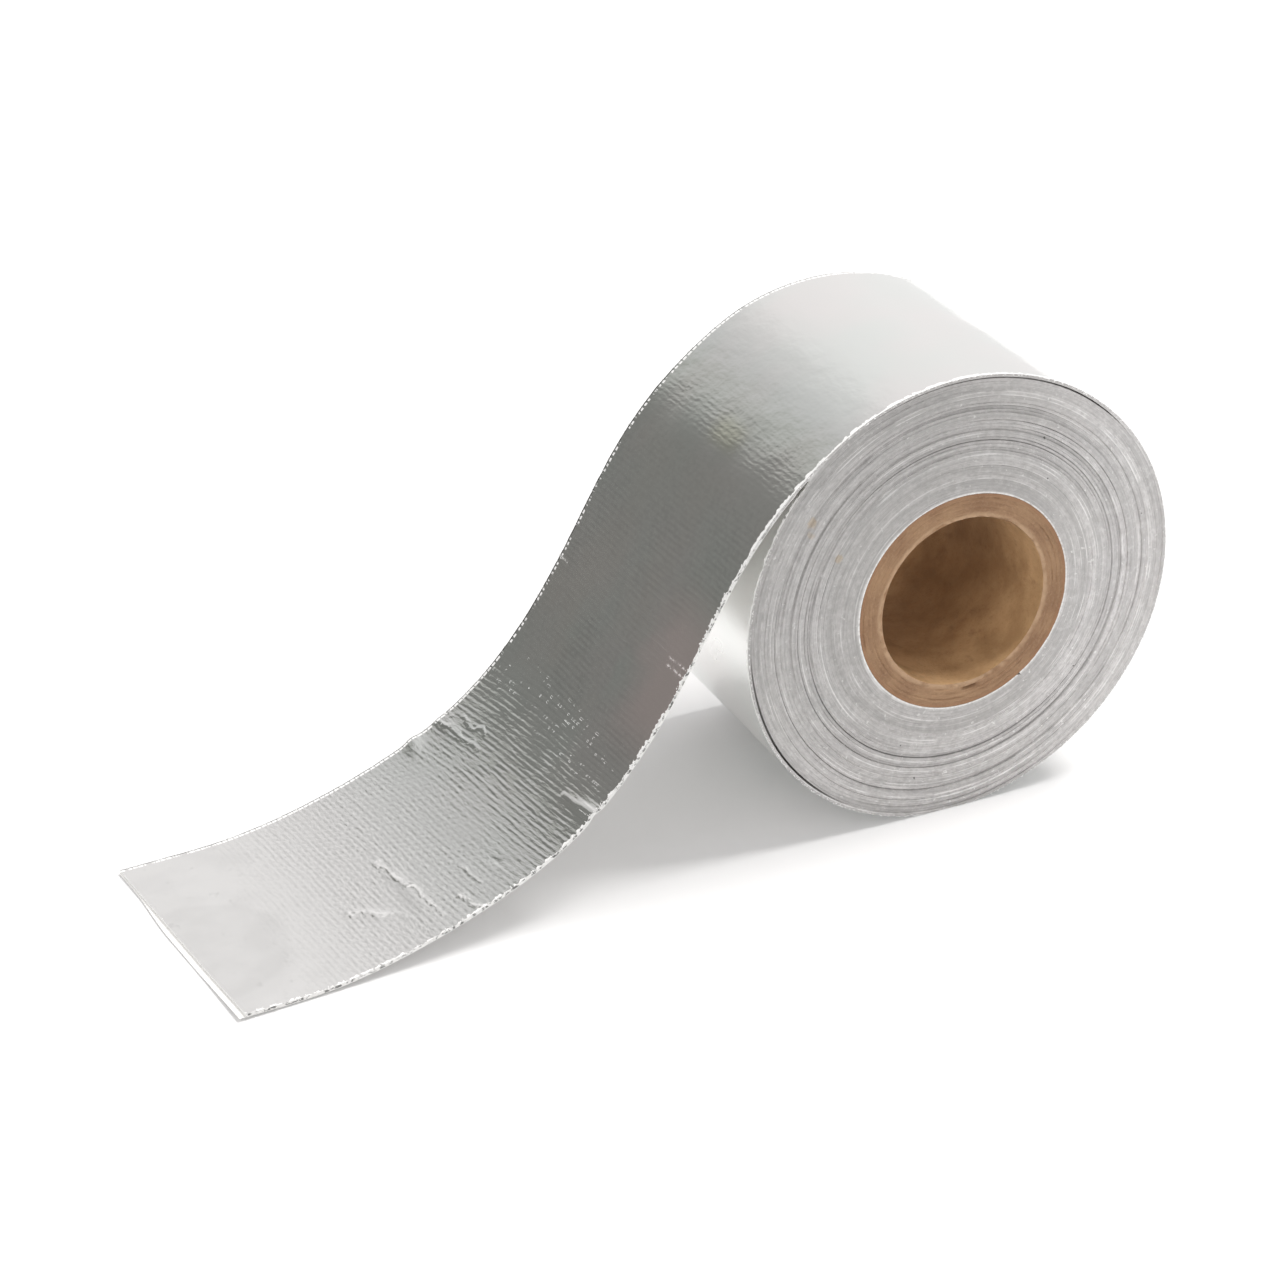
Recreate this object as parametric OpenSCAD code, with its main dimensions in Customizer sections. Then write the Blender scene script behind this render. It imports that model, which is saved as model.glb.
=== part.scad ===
// A roll of heat reflective tape with its loose end run out on the table.
// A spiral-wound paper core carries the wound tape, whose last turn leaves the
// roll near its top, falls in an S and lies on the table. A thin release
// liner stays under the loose end and sticks out past the cut.
//
// Millimetres. Z is up and the table is z = 0. The core lies along Y, the
// roll stands above x = 0, and the loose end runs toward -X.

/* [Tape] */
// Width of the tape
tape_w = 38.1; // [25.4:0.1:50.8]
// Number of wound turns
turns = 34; // [28:1:40]
// Mean diameter of the roll, as wound
roll_d = 59.4; // [58.6:0.1:60]
// How far the roll is pressed out of round, two-sided
lobe_2 = 0.35; // [0:0.05:0.6]
// How far the roll is pressed out of round, three-sided
lobe_3 = 0.2; // [0:0.05:0.4]

/* [Core] */
// Outer diameter of the paper core
core_d = 29.1; // [27:0.1:31]
// Bore of the paper core
bore_d = 22.8; // [18:0.1:25]
// Length of the paper core
core_len = 37.9; // [25:0.1:50.8]
// Shift of the core from the roll's middle, along X
core_dx = 0.6; // [-1:0.1:1]
// Shift of the core from the roll's middle, along Z
core_dz = -0.3; // [-1:0.1:1]

/* [Loose end] */
// Angle on the roll where the loose end leaves it
leave_deg = 125; // [120:1:130]
// Sideways turn of the loose end as it runs out
yaw = 4.7; // [0:0.1:8]
// Place of the cut's near corner, along X
cut_near_x = -97; // [-99:0.1:-90]
// Place of the cut's far corner, along X
cut_far_x = -101.4; // [-103:0.1:-90]

/* [Liner] */
// Thickness of the release liner
liner_t = 0.08; // [0.05:0.01:0.15]
// How far the liner sticks out past the cut
liner_peek = 0.8; // [0.1:0.1:1.5]

/* [Hidden] */
$fn = 144;

roll_r = roll_d / 2;
axis_z = roll_r;                           // height of the roll's middle
turn_t = (roll_r - core_d / 2) / turns;    // one turn: cloth, foil, glue, liner
yaw_from = -24;                            // where the sideways run begins
step = 3;                                  // degrees between outline points
meet = 9;                                  // degrees that the closed wedge covers

// What the loose end follows from the roll down to the table, as [x, z]
route = [
    [-22.5, 49.8], [-27.5, 44.6], [-31.7, 38.9], [-35.2, 33.2],
    [-38.6, 27.6], [-42.2, 22.4], [-46.2, 17.6], [-50.8, 13.2],
    [-56, 9.5], [-62, 6.6], [-68.5, 4.2], [-75, 2.4], [-81.5, 1],
    [-88, 0.25], [-95, 0.25], [-102, 0.4], [-109, 0.6], [-116, 0.8]
];

// Radius of the roll's outside at angle a, with f of a turn unwound
function rad(a, f) = roll_r + lobe_2 * cos(2 * (a - 59))
    + lobe_3 * cos(3 * a) + turn_t * (0.5 - f);
function at(r, a) = [r * cos(a), axis_z + r * sin(a)];
function unit(v) = v / norm(v);

// A smooth curve led by four points, u from 0 to 1 along its middle part
function curve(a, b, c, d, u) = ((1 - u) * (1 - u) * (1 - u) * a
    + (3 * u * u * u - 6 * u * u + 4) * b
    + (3 * u * u + 3 * u + 1 - 3 * u * u * u) * c + u * u * u * d) / 6;

// The last part of the turn that is still on the roll leads into the route
lead = [for (a = [leave_deg - 12, leave_deg - 6, leave_deg])
    at(rad(leave_deg, 0) - turn_t / 2, a)];
way = concat(lead, route);
mid = [for (i = [1 : len(way) - 3]) for (u = [0 : 0.2 : 0.8])
    curve(way[i - 1], way[i], way[i + 1], way[i + 2], u)];
last = len(mid) - 1;
side = [for (i = [0 : last]) let (
    d = unit(mid[min(i + 1, last)] - mid[max(i - 1, 0)])) [d[1], -d[0]]];

// The line at height h above the middle of the loose end
function line_at(h, from) = [for (i = [from : last]) mid[i] + side[i] * h];
function back(p) = [for (i = [len(p) - 1 : -1 : 0]) p[i]];

top_h = turn_t / 2;
under_h = liner_t - turn_t / 2;
clear = 9;      // first point of the loose end that is clear of the roll
top_from = 6;   // first point of its upper side past the roll's outline

// Outside of the roll, clockwise from where the loose end leaves it
outline = [for (a = [0 : step : 360 - meet])
    at(rad(leave_deg - a, a / 360), leave_deg - a)];

function drift(x) = tan(yaw) * min(0, x - yaw_from);

// Seen from above: the roll's width, then the strip as it drifts sideways
module plan(more) {
    w = tape_w / 2;
    linear_extrude(height = 80)
        polygon([
            [40, -w], [40, w], [yaw_from, w],
            [cut_far_x - more, w + drift(cut_far_x - more)],
            [cut_near_x - more, -w + drift(cut_near_x - more)],
            [yaw_from, -w]
        ]);
}

// A flat outline in X and Z, made thick along Y
module across(length) {
    rotate([90, 0, 0])
        linear_extrude(height = length, center = true)
            children();
}

// Round bar along Y at the core's place
module bar(d, length) {
    translate([core_dx, 0, axis_z + core_dz])
        rotate([90, 0, 0])
            cylinder(d = d, h = length, center = true);
}

module core() {
    color([0.61, 0.46, 0.34])
        difference() {
            bar(core_d, core_len);
            bar(bore_d, core_len + 2);
        }
}

module tape() {
    color([0.74, 0.75, 0.73])
        difference() {
            intersection() {
                across(tape_w + 20)
                    polygon(concat(outline, line_at(under_h, clear),
                        back(line_at(top_h, top_from))));
                plan(0);
            }
            bar(core_d, tape_w + 20);
        }
}

module release_liner() {
    color([0.95, 0.94, 0.91])
        intersection() {
            across(tape_w + 20)
                polygon(concat(line_at(-turn_t / 2, clear + 1),
                    back(line_at(under_h, clear + 1))));
            plan(liner_peek);
        }
}

core();
tape();
release_liner();
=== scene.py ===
import math

import bpy
import numpy as np
from mathutils import Matrix, Vector


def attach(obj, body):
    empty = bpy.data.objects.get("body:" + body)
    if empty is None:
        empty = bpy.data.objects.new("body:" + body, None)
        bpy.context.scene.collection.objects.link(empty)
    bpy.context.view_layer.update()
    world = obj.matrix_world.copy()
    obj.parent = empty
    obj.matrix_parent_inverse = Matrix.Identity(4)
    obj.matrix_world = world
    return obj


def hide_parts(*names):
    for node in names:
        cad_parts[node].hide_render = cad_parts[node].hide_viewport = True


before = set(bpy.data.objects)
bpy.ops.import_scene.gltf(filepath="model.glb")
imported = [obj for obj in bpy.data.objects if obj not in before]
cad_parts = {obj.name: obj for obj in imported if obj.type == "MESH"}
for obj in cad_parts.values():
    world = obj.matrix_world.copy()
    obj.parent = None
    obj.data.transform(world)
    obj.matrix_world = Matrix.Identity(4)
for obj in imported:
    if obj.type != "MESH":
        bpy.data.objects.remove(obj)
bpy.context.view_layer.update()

MM = 0.001

# ---------------------------------------------------------------- camera
ROLL_R = 29.7           # mean radius of the roll, mm
FOCAL_PX = 3165.56      # for a frame 1280 wide
AZ, EL, TILT = math.radians(-23.385), math.radians(27.806), math.radians(-1.447)
DIST = 13.4228 * ROLL_R
TARGET = Vector((-1.1848 * ROLL_R, 0.0, 0.7941 * ROLL_R))


def make_camera():
    back = Vector((math.sin(AZ) * math.cos(EL), -math.cos(AZ) * math.cos(EL), math.sin(EL)))
    right = (-back).cross(Vector((0, 0, 1))).normalized()
    up = right.cross(-back)
    right_t = right * math.cos(TILT) + up * math.sin(TILT)
    up_t = -right * math.sin(TILT) + up * math.cos(TILT)
    place = (TARGET + back * DIST) * MM
    cam = bpy.data.cameras.new("camera")
    cam.sensor_fit = "HORIZONTAL"
    cam.sensor_width = 36.0
    cam.lens = FOCAL_PX / 1280.0 * 36.0
    cam.clip_start, cam.clip_end = 0.01, 20.0
    ob = bpy.data.objects.new("camera", cam)
    ob.matrix_world = Matrix((
        (right_t.x, up_t.x, back.x, place.x),
        (right_t.y, up_t.y, back.y, place.y),
        (right_t.z, up_t.z, back.z, place.z),
        (0, 0, 0, 1)))
    bpy.context.scene.collection.objects.link(ob)
    bpy.context.scene.camera = ob
    return ob


make_camera()

# ---------------------------------------------------------------- measures, mm
CORE_R, BORE_R, CORE_LEN = 14.55, 11.4, 37.9
CORE_DX, CORE_DZ = 0.6, -0.3
WIDE = 38.1
HALF = WIDE / 2
TURNS = 34
TURN_T = (ROLL_R - CORE_R) / TURNS
LINER_T = 0.08
LEAVE = 125.0
SEG = 180                    # steps round one turn
STEP = 360.0 / SEG
GLUED = 5                    # steps past the leaving line that stay on the roll


def rng(seed):
    return np.random.default_rng(seed)


def smooth_noise(x, seed, scale):
    """Value noise along x, one knot every `scale`, from -1 to 1."""
    x = np.asarray(x, float) / scale
    table = rng(seed).uniform(-1, 1, 8192)
    i = np.floor(x).astype(int)
    f = x - i
    f = f * f * (3 - 2 * f)
    return table[i % 8192] * (1 - f) + table[(i + 1) % 8192] * f


def lobe(a):
    a = np.radians(a)
    return 0.35 * np.cos(2 * (a - math.radians(59))) + 0.2 * np.cos(3 * a)


def press_flat(x, z):
    """The small flat spot: nothing goes under the table."""
    low = 0.5 * (z + np.sqrt(z * z + 0.0036))
    return np.where(z < 1.5, low, z)


def on_roll(phi, off):
    """Point (x, z) on the spiral: phi degrees inward from the leaving line, off below the turn's outside."""
    phi = np.asarray(phi, float)
    u = phi / 360.0
    w = np.clip(1 - u / TURNS, 0, 1)
    a = LEAVE - phi
    r = ROLL_R + TURN_T * (0.5 - u) + lobe(a) * w - off
    r = np.maximum(r, CORE_R + 0.02)
    ar = np.radians(a)
    x = r * np.cos(ar) + CORE_DX * (1 - w)
    z = r * np.sin(ar) + ROLL_R + CORE_DZ * (1 - w)
    return x, press_flat(x, z)


# The loose end's own line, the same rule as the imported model: a smooth curve led by these
ROUTE = [
    (-22.5, 49.8), (-27.5, 44.6), (-31.7, 38.9), (-35.2, 33.2),
    (-38.6, 27.6), (-42.2, 22.4), (-46.2, 17.6), (-50.8, 13.2),
    (-56, 9.5), (-62, 6.6), (-68.5, 4.2), (-75, 2.4), (-81.5, 1),
    (-88, 0.25), (-95, 0.25), (-102, 0.4), (-109, 0.6), (-116, 0.8),
]


def spline(points, per=40):
    p = np.array(points, float)
    u = (np.arange(per) / per)[:, None]
    out = []
    for i in range(1, len(p) - 2):
        a, b, c, d = p[i - 1], p[i], p[i + 1], p[i + 2]
        out.append(((1 - u) ** 3 * a + (3 * u ** 3 - 6 * u ** 2 + 4) * b
                    + (3 * u ** 2 + 3 * u + 1 - 3 * u ** 3) * c + u ** 3 * d) / 6)
    return np.concatenate(out)


def lead_point(a):
    r, a = ROLL_R + float(lobe(LEAVE)), math.radians(a)
    return (r * math.cos(a), ROLL_R + r * math.sin(a))


MID = spline([lead_point(a) for a in (LEAVE - 12, LEAVE - 6, LEAVE)] + ROUTE)
_run = np.concatenate([[0], np.cumsum(np.hypot(*np.diff(MID, axis=0).T))])
_angle = np.degrees(np.arctan2(MID[:, 1] - ROLL_R, MID[:, 0]))
RUN = _run - np.interp(LEAVE, _angle[:100], _run[:100])     # 0 where the loose end leaves
_d = np.gradient(MID, RUN, axis=0)
_d /= np.hypot(_d[:, 0], _d[:, 1])[:, None]
UP = np.stack([_d[:, 1], -_d[:, 0]], axis=1)
_join = np.array(on_roll(0, TURN_T / 2)) - np.array([np.interp(0, RUN, MID[:, 0]), np.interp(0, RUN, MID[:, 1])])


def on_tail(s, off):
    """Point (x, z) of the loose end at run s from where it leaves, off below its foil."""
    s = np.asarray(s, float)
    h = TURN_T / 2 - off
    fade = np.clip(1 - s / 7, 0, 1)
    fade = fade * fade * (3 - 2 * fade)
    x = np.interp(s, RUN, MID[:, 0]) + np.interp(s, RUN, UP[:, 0]) * h + _join[0] * fade
    z = np.interp(s, RUN, MID[:, 1]) + np.interp(s, RUN, UP[:, 1]) * h + _join[1] * fade
    return x, z


def up_at(s):
    return np.interp(s, RUN, UP[:, 0]), np.interp(s, RUN, UP[:, 1])


YAW = math.tan(math.radians(4.7))


def drift(x):
    return YAW * np.minimum(0, x + 24)


CUT_NEAR, CUT_FAR = -97.0, -101.4


def run_at_x(x):
    return np.interp(-np.asarray(x, float), -MID[:, 0], RUN)


S_CORNER = float(run_at_x(CUT_FAR))       # run at the far corner; S counts from there


def end_run(v, more=0.0):
    x = CUT_NEAR + (CUT_FAR - CUT_NEAR) * (v + HALF) / WIDE - more
    return run_at_x(x)


def noise2(x, y, seed, sx, sy):
    """Value noise over x and y, from -1 to 1, smooth."""
    x, y = np.asarray(x, float) / sx, np.asarray(y, float) / sy
    table = rng(seed).uniform(-1, 1, (512, 512))
    i, j = np.floor(x).astype(int), np.floor(y).astype(int)
    f, g = x - i, y - j
    f, g = f * f * (3 - 2 * f), g * g * (3 - 2 * g)
    i, j, i1, j1 = i % 512, j % 512, (i + 1) % 512, (j + 1) % 512
    return ((table[i, j] * (1 - f) + table[i1, j] * f) * (1 - g)
            + (table[i, j1] * (1 - f) + table[i1, j1] * f) * g)


def step_up(x, a, b):
    t = np.clip((x - a) / (b - a), 0, 1)
    return t * t * (3 - 2 * t)


def dent(S, v, s0, v0, ls, lv, turn=0.0):
    """A soft dome of height 1 about (s0, v0), ls by lv wide, turned by some degrees."""
    c, t = math.cos(math.radians(turn)), math.sin(math.radians(turn))
    a = (S - s0) * c + (v - v0) * t
    b = -(S - s0) * t + (v - v0) * c
    return np.exp(-(a / ls) ** 2 - (b / lv) ** 2)


def sheet_lift(S, v):
    """How far the loose end's sheet stands off its smooth line, mm. S runs from the far cut corner."""
    lift = 0.05 * noise2(S, v, 11, 17, 13) + 0.03 * noise2(S, v, 12, 6, 5)
    lift = lift + 0.10 * dent(S, v, 29.8, -8.5, 0.9, 7.0, 2)          # crease across
    lift = lift + 0.08 * dent(S, v, 24.2, -8.6, 0.7, 3.4, 42)         # diagonal crease
    lift = lift + 0.05 * dent(S, v, 24.0, 0.2, 6.0, 0.7, 0)           # faint line along
    lift = lift + 0.34 * dent(S, v, 53.2, -18.6, 0.85, 3.4, 11)       # pucker, near edge
    lift = lift + 0.34 * dent(S, v, 41.5, 18.2, 1.1, 2.4, -8)         # pucker, far edge
    lift = lift + 0.16 * dent(S, v, 46.2, 17.6, 0.9, 3.0, 6)
    lift = lift + 0.30 * dent(S, v, 2.0, -19.0, 12.0, 8.0, 0)         # near corner curls up
    lift = lift * step_up(S_CORNER - S, 1.0, 9.0)
    floor_room = step_up(S, 26.0, 45.0)                               # nothing sinks where it lies
    return np.where(lift < 0, lift * floor_room, lift)


# ---------------------------------------------------------------- meshes
def build(name, verts, quads, mats, index, uv, sharp=35.0, node=None):
    me = bpy.data.meshes.new(name)
    quads = np.asarray(quads, np.int32)
    n = len(quads)
    me.vertices.add(len(verts))
    me.vertices.foreach_set("co", (np.asarray(verts, float) * MM).ravel())
    me.loops.add(n * 4)
    me.loops.foreach_set("vertex_index", quads.ravel())
    me.polygons.add(n)
    me.polygons.foreach_set("loop_start", np.arange(0, n * 4, 4, dtype=np.int32))
    me.polygons.foreach_set("material_index", np.asarray(index, np.int32))
    me.update(calc_edges=True)
    layer = me.uv_layers.new(name="strip")
    layer.data.foreach_set("uv", np.asarray(uv, np.float32).ravel())
    for m in mats:
        me.materials.append(m)
    import bmesh
    bm = bmesh.new()
    bm.from_mesh(me)
    bmesh.ops.recalc_face_normals(bm, faces=bm.faces)
    bm.to_mesh(me)
    bm.free()
    me.shade_smooth()
    me.set_sharp_from_angle(angle=math.radians(sharp))
    ob = bpy.data.objects.new(name, me)
    bpy.context.scene.collection.objects.link(ob)
    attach(ob, "root")
    if node:
        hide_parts(node)
    return ob


def make_tape(mats):
    N, G, C = SEG, GLUED, 64
    M = int(33.5 * N)
    s_glue = ROLL_R * math.radians(STEP)
    s_end_mid = float(end_run(0.0))
    free_rows = int(round((s_end_mid - G * s_glue) / 0.42))
    J = G + free_rows
    t = np.concatenate([np.arange(G + 1) * s_glue, G * s_glue + (s_end_mid - G * s_glue) * np.arange(1, free_rows + 1) / free_rows]) / s_end_mid
    cols = np.arange(C + 1) / C
    v_col = -HALF + WIDE * cols
    s_end = end_run(v_col)                         # (C+1)

    # run along the strip of every row, by row index i from -J to M+N
    i_all = np.arange(-J, M + N + 1)
    phi = np.maximum(i_all, 0) * STEP
    r_here = np.hypot(on_roll(phi, 0)[0], on_roll(phi, 0)[1] - ROLL_R)
    arc = np.concatenate([[0], np.cumsum(r_here[J + 1:] * math.radians(STEP))])
    a_all = (LEAVE - phi + 180) % 360 - 180        # angle on the roll
    u_all = phi / 360

    def around(a0, width, soft):
        d = np.abs((a_all - a0 + 180) % 360 - 180)
        return 1 - step_up(d, width, width + soft)

    # the outer turn is loose here and there: a slit opens inside it
    slit = 0.17 * around(-150, 12, 18) + 0.10 * around(78, 26, 14)
    squeeze = np.where(u_all >= 1, slit * np.clip((34 - u_all) / 33, 0, 1), 0)

    # how far each side of the strip stays behind the widest place
    radius = ROLL_R + TURN_T * (0.5 - u_all)
    rr = radius / ROLL_R
    calm = 0.22 + 0.78 * step_up(rr, 0.62, 0.67)
    rec, groove = [], []
    for side in (0, 1):
        sd = 40 + 10 * side
        # every turn stands out or back by its own amount, and wanders as it goes round
        own = rng(sd + 7).uniform(0, 1, TURNS + 3) ** 1.5
        lap = np.clip(u_all, 0, TURNS + 1)
        k = np.floor(lap).astype(int)
        f = lap - k
        step_own = own[k] * (1 - f) + own[k + 1] * f
        wander = 0.5 + 0.5 * smooth_noise(np.where(i_all < 0, i_all * 0.4, i_all * 1.0), sd, 67)
        wander = 0.55 * wander + 0.25 * smooth_noise(i_all, sd + 1, 27) + 0.55 * step_own
        wave = smooth_noise(i_all, sd + 2, 4.3)
        r_ = calm * (0.33 * np.clip(wander, 0, 1.6) + 0.026 * wave)
        for ring, wide, deep in ((0.645, 0.009, -0.26), (0.835, 0.012, -0.42), (0.94, 0.009, -0.22), (0.905, 0.008, -0.16), (0.795, 0.009, -0.16),
                                 (0.725, 0.011, 0.34), (0.69, 0.009, 0.22), (0.775, 0.009, 0.26), (0.875, 0.010, 0.28)):
            here = np.exp(-((rr - ring - 0.003 * side) / wide) ** 2)
            if ring == 0.645:
                here = here * (0.3 + 0.7 * around(-57, 66, 20))
            if ring == 0.94:
                here = here * (0.2 + 0.8 * around(-80, 30, 20))
            if ring == 0.69:
                here = here * (0.2 + 0.8 * around(85, 55, 20))
            r_ = r_ + deep * here
        deep_turn = (rng(sd + 8).uniform(0, 1, TURNS + 3) > 0.70) * rng(sd + 9).uniform(0.05, 0.15, TURNS + 3)
        g_ = 0.040 + 0.035 * smooth_noise(i_all, sd + 3, 9) + 0.03 * smooth_noise(i_all, sd + 4, 37)
        g_ = g_ + deep_turn[k] * np.clip(0.6 + 0.6 * smooth_noise(i_all, sd + 11, 31), 0, 1)
        g_ = np.clip(g_, 0.02, 1) * (0.35 + 0.65 * calm)
        g_ = g_ + 0.30 * np.exp(-((rr - 0.725) / 0.008) ** 2) + 0.16 * np.exp(-((rr - 0.775) / 0.007) ** 2)
        g_ = g_ + 0.14 * np.exp(-((rr - 0.875) / 0.007) ** 2) + 0.15 * np.exp(-((rr - 0.81) / 0.007) ** 2) * around(25, 55, 20)
        g_ = g_ + np.where((u_all >= 1) & (u_all < 2), 9.0 * np.clip(slit, 0, 1), 0)
        r_ = r_ + 0.10                                  # room for what stands out
        tail_rec = 0.05 + 0.035 * smooth_noise(i_all, sd + 5, 3.1) + 0.03 * smooth_noise(i_all, sd + 6, 11)
        first = np.clip((i_all + 30) / 90.0, 0, 1) * (u_all < 0.97) + (u_all >= 0.97)
        first = first * first * (3 - 2 * first)
        outer = np.where(u_all < 1, 0.35, 1.0)
        r_ = tail_rec * (1 - first) + r_ * first * outer + (1 - outer) * 0.05 * first
        g_ = g_ * step_up(i_all, N - G, N - G + 4)
        rec.append(np.clip(r_, 0.0, 1.2))
        groove.append(g_)

    OFF = np.array([0, 0.12, 0.45, 0.85]) * TURN_T
    OFF_T = np.array([0, 0.05, 0.17, 0.315])
    under = 0.366
    verts, count = [], 0

    def put(x, y, z):
        nonlocal count
        p = np.stack(np.broadcast_arrays(x, y, z), axis=-1).reshape(-1, 3)
        verts.append(p)
        start = count
        count += len(p)
        return start + np.arange(len(p))

    # --- upper side: rows i = -J .. N-G
    rows = np.arange(-J, N - G + 1)
    n_tail = J                                         # rows with i < 0
    s_tail = t[np.arange(J, 0, -1)][:, None] * s_end[None]      # (J, C+1)
    near_y = -(HALF - rec[0][:len(rows)])
    far_y = HALF - rec[1][:len(rows)]
    vv = near_y[:, None] + (far_y - near_y)[:, None] * cols[None]

    S_tail = S_CORNER - s_tail
    lift = sheet_lift(S_tail, np.broadcast_to(v_col, s_tail.shape))
    ux, uz = up_at(s_tail)

    def tail_xyz(off, sel=slice(None)):
        x, z = on_tail(s_tail[:, sel], off)
        x = x + ux[:, sel] * lift[:, sel]
        z = z + uz[:, sel] * lift[:, sel]
        z = np.maximum(z, 0.446 - off + 0.01) if off < 0.4 else z
        y = vv[:n_tail, sel] + drift(x)
        return x, y, z

    phi_top = rows[n_tail:] * STEP
    S_roll = S_CORNER + arc[:len(phi_top)]
    swell = 0.045 * noise2(S_roll[:, None] + 0 * v_col, v_col[None] + 0 * S_roll[:, None], 21, 19, 11)
    swell = swell + 0.02 * noise2(S_roll[:, None] + 0 * v_col, v_col[None] + 0 * S_roll[:, None], 22, 7, 5)
    swell = swell * (step_up(phi_top, 2, 14) * (1 - step_up(phi_top, 325, 348)) * (1 - around(-90, 6, 12)[J:J + len(phi_top)]))[:, None]

    def roll_xyz(i, off, y, extra=0.0, more=0.0):
        p = i * STEP
        a = np.radians(LEAVE - p)
        x, z = on_roll(p, off)
        shift = extra - squeeze[i + J] + more
        x, z = x + np.cos(a) * shift, z + np.sin(a) * shift
        return x, y, press_flat(x, z)

    xt, yt, zt = tail_xyz(0.0)
    tail_top = put(xt, yt, zt).reshape(n_tail, C + 1)
    i_roll = rows[n_tail:]
    xr, zr = on_roll(phi_top[:, None], 0.0)
    ar = np.radians(LEAVE - phi_top)[:, None]
    xr, zr = xr + np.cos(ar) * swell, zr + np.sin(ar) * swell
    roll_top = put(xr + 0 * cols, vv[n_tail:], press_flat(xr, zr) + 0 * cols).reshape(len(phi_top), C + 1)
    top = np.concatenate([tail_top, roll_top])

    # --- underside of the loose end: rows i = -J .. -G-1
    xu, yu, zu = tail_xyz(under)
    n_und = J - G
    und = put(xu[:n_und], yu[:n_und], zu[:n_und]).reshape(n_und, C + 1)
    und = np.concatenate([und, top[-1][None]])          # then the row where it meets the roll

    # --- the cut edges, both sides
    E = []
    for side in (0, 1):
        col = 0 if side == 0 else C
        sign = -1 if side == 0 else 1
        e = np.zeros((J + M + N + 1, 4), np.int64) - 1
        e[:len(rows), 0] = top[:, col]
        i_rest = np.arange(N - G + 1, M + N + 1)
        y = sign * (HALF - rec[side][i_rest + J] - groove[side][i_rest + J])
        lift_mid = np.where((i_rest >= N) & (i_rest < 2 * N), 0.5 * slit[i_rest + J], 0)
        x_in, y_in, z_in = roll_xyz(i_rest, 0.0, y, 0.0, lift_mid)
        a_in = np.radians(LEAVE - i_rest * STEP)        # the innermost turn lies on the core
        x_in = np.where(i_rest > M, CORE_DX + (CORE_R + 0.03) * np.cos(a_in), x_in)
        z_in = np.where(i_rest > M, ROLL_R + CORE_DZ + (CORE_R + 0.03) * np.sin(a_in), z_in)
        p = put(x_in, y_in, z_in)
        e[i_rest + J, 0] = p
        for q in (1, 2, 3):
            blend = np.clip(np.arange(J, 0, -1) / G, 0, 1)          # wound layer to loose strip
            x0, z0 = on_tail(s_tail[:, col], OFF[q])
            x1, z1 = on_tail(s_tail[:, col], OFF_T[q])
            x = x0 * (1 - blend) + x1 * blend + ux[:, col] * lift[:, col]
            z = z0 * (1 - blend) + z1 * blend + uz[:, col] * lift[:, col]
            z = np.maximum(z, 0.446 - OFF_T[q] + 0.01)
            bulge = (0.0, 0.015, 0.03, 0.01)[q]
            y = vv[:n_tail, col] + sign * bulge * 0 + drift(x)
            e[:J, q] = put(x, y, z)
            i_wound = np.arange(0, M + 1)
            extra = np.zeros(M + 1)
            extra[:len(phi_top)] = swell[:, col]
            y = sign * (HALF - rec[side][i_wound + J] - (0.0, 0.02, 0.0, 0.03)[q])
            e[i_wound + J, q] = put(*roll_xyz(i_wound, OFF[q], y, extra))
        E.append(e)

    # --- the slanted cut
    cap = [top[0]]
    for q in (1, 2, 3):
        x, y, z = tail_xyz(OFF_T[q])
        inner = put(x[0, 1:C], y[0, 1:C], z[0, 1:C])
        cap.append(np.concatenate([[E[0][0, q]], inner, [E[1][0, q]]]))
    cap.append(und[0])

    faces, index, uvs = [], [], []

    def add(a, b, c, d, m, ua, ub, uc, ud):
        q = np.stack([a, b, c, d], axis=-1).reshape(-1, 4)
        faces.append(q)
        index.append(np.full(len(q), m))
        uvs.append(np.stack([np.stack([np.broadcast_to(k, np.shape(a)) for k in w], axis=-1).reshape(-1, 2)
                             for w in (ua, ub, uc, ud)], axis=1))

    S_top = np.concatenate([S_tail, np.repeat(S_roll[:, None], C + 1, 1)])
    V_top = np.repeat(v_col[None], len(S_top), 0)

    def patch(ids, S_, V_, m):
        add(ids[:-1, :-1], ids[:-1, 1:], ids[1:, 1:], ids[1:, :-1], m,
            (S_[:-1, :-1], V_[:-1, :-1]), (S_[:-1, 1:], V_[:-1, 1:]),
            (S_[1:, 1:], V_[1:, 1:]), (S_[1:, :-1], V_[1:, :-1]))

    patch(top, S_top, V_top, 0)
    S_und = np.concatenate([S_tail[:n_und], S_tail[n_und:n_und + 1]])
    patch(und, S_und, V_top[:n_und + 1], 2)
    ts = np.array([0.0, 0.13, 0.45, 0.85, 1.0])
    for q in range(4):
        add(cap[q][:-1], cap[q][1:], cap[q + 1][1:], cap[q + 1][:-1], 1,
            (v_col[:-1] - 900, ts[q]), (v_col[1:] - 900, ts[q]), (v_col[1:] - 900, ts[q + 1]), (v_col[:-1] - 900, ts[q + 1]))

    S_edge = np.concatenate([S_tail[:, 0], S_CORNER + arc])
    for side in (0, 1):
        col = 0 if side == 0 else C
        e = E[side]
        K = J + M                                       # quads along
        low = np.concatenate([und[:n_und, col], e[N - G + J:N + M + J + 1, 0]])
        S0, S1 = S_edge[:K], S_edge[1:K + 1]
        bump = 5000.0 * side
        for q in range(3):
            add(e[:K, q], e[1:K + 1, q], e[1:K + 1, q + 1], e[:K, q + 1], 1,
                (S0 + bump, ts[q]), (S1 + bump, ts[q]), (S1 + bump, ts[q + 1]), (S0 + bump, ts[q + 1]))
        add(e[:K, 3], e[1:K + 1, 3], low[1:K + 1], low[:K], 1,
            (S0 + bump, ts[3]), (S1 + bump, ts[3]), (S1 + bump, ts[4]), (S0 + bump, ts[4]))
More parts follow.
